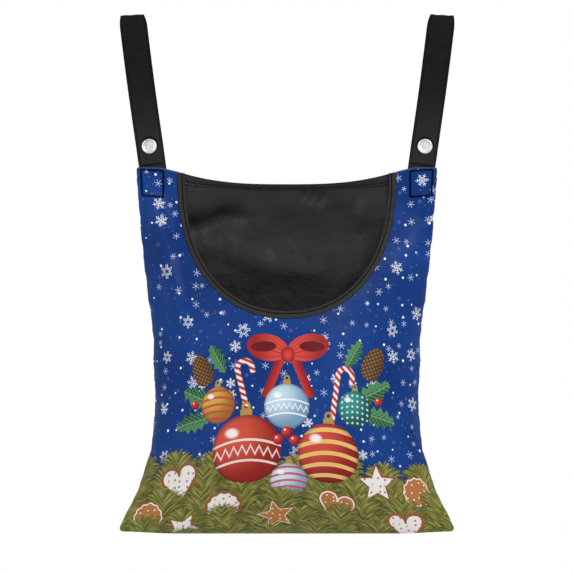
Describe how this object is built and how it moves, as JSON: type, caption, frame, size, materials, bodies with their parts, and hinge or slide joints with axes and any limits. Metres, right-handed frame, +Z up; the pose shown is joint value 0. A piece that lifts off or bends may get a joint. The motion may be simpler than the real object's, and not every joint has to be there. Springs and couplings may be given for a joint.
{
  "type": "peg bag",
  "caption": "Hanging cloth bag with a deep U-shaped mouth and strap loops that open by a press stud, for clothes pegs on a line.",
  "frame": {"origin": "where the clothesline bears: level with the inside tops of both strap loops, midway between them", "axes": "+Z up, the printed front faces -Y, +X to the right of a person who looks at the front"},
  "size_m": [0.318, 0.0884, 0.4925],
  "materials": {
    "print": "matte printed cloth",
    "lining": "black cloth with a slight sheen",
    "binding": "black tape",
    "webbing": "matte black webbing",
    "thread": "dark thread",
    "snap_metal": "satin silver"
  },
  "bodies": {
    "root": {"front_panel": "print", "back_panel": "lining", "mouth_binding": "binding", "back_hem": "lining", "left_strap_back": "webbing", "left_snap_stud": "snap_metal", "left_snap_post": "snap_metal", "left_corner_stitch_front": "thread", "left_corner_stitch_back": "thread", "right_strap_back": "webbing", "right_snap_stud": "snap_metal", "right_snap_post": "snap_metal", "right_corner_stitch_front": "thread", "right_corner_stitch_back": "thread"},
    "left_flap": {"left_strap_front": "webbing", "left_snap_cap": "snap_metal", "left_snap_socket": "snap_metal"},
    "right_flap": {"right_strap_front": "webbing", "right_snap_cap": "snap_metal", "right_snap_socket": "snap_metal"}
  },
  "joints": [
    {"name": "left_flap_hinge", "type": "hinge", "parent": "root", "child": "left_flap", "pos_m": [-0.14588, -0.0055, -0.00397], "axis": [-0.9917, 0, -0.1288], "range_deg": [0, 170]},
    {"name": "right_flap_hinge", "type": "hinge", "parent": "root", "child": "right_flap", "pos_m": [0.14588, -0.0055, -0.00397], "axis": [-0.9917, 0, 0.1288], "range_deg": [0, 170]}
  ]
}
